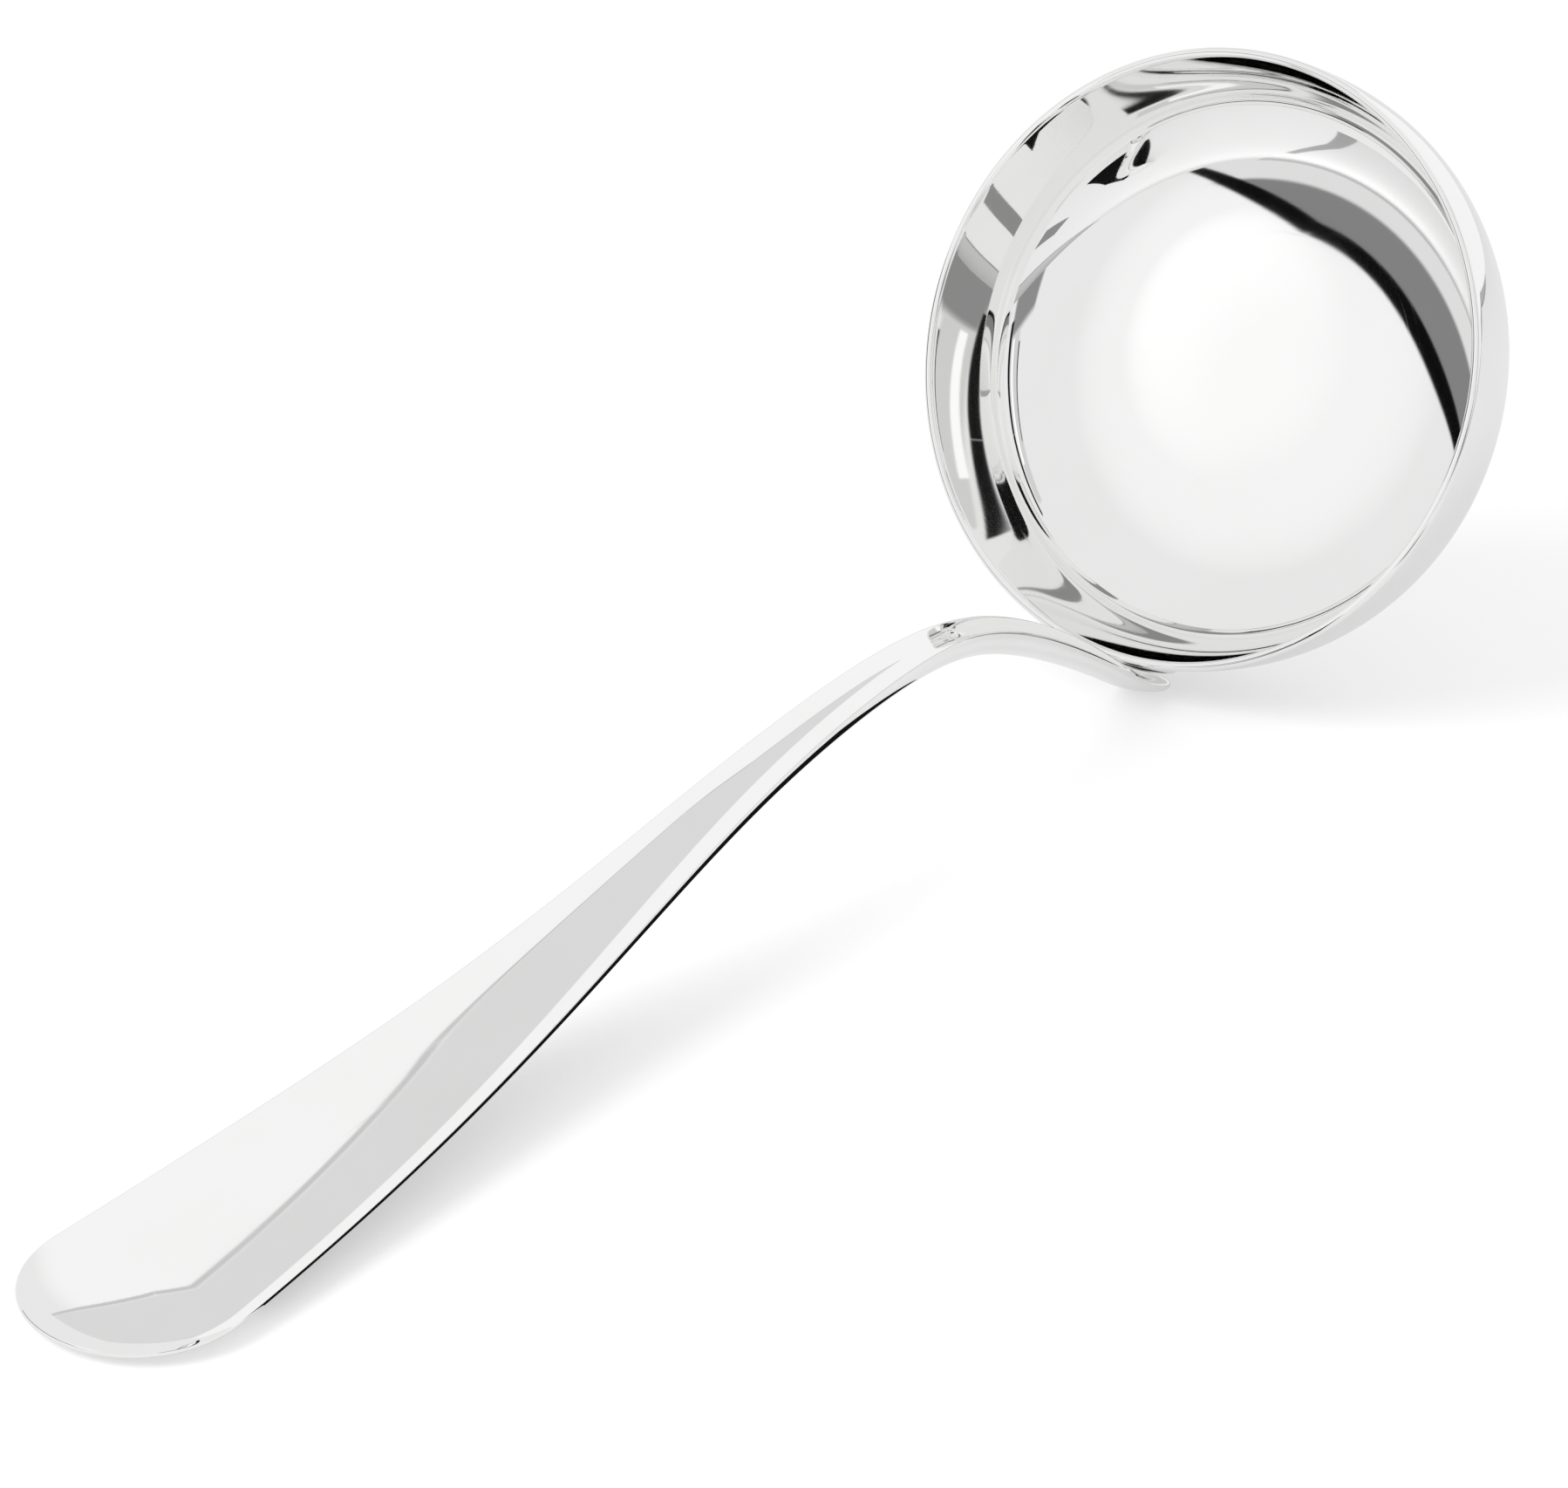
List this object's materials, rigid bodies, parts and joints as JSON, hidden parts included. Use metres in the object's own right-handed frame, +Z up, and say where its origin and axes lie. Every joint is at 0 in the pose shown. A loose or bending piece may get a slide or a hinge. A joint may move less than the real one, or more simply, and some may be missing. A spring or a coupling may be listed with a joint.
{
  "type": "sauce ladle",
  "caption": "Sauce ladle with a deep round bowl and a swan-neck handle that widens to a rounded end, lying at rest.",
  "frame": {"origin": "bottom centre of the bounding box: on the plane the ladle lies on, in its plane of symmetry", "axes": "+X from the handle's end towards the bowl, +Z up as the ladle lies at rest; y = 0 is the plane of symmetry and the bowl's mouth faces -X and a little up"},
  "size_m": [0.1748, 0.06, 0.0602],
  "materials": {
    "polished_bowl": "mirror polish with fine turning and wiping marks",
    "polished_handle": "mirror polish with fine lengthwise wiping marks",
    "braze_metal": "dressed and polished braze, slightly duller than the bowl"
  },
  "bodies": {
    "root": {"bowl": "polished_bowl", "handle": "polished_handle", "brazed_seam": "braze_metal"}
  },
  "joints": []
}
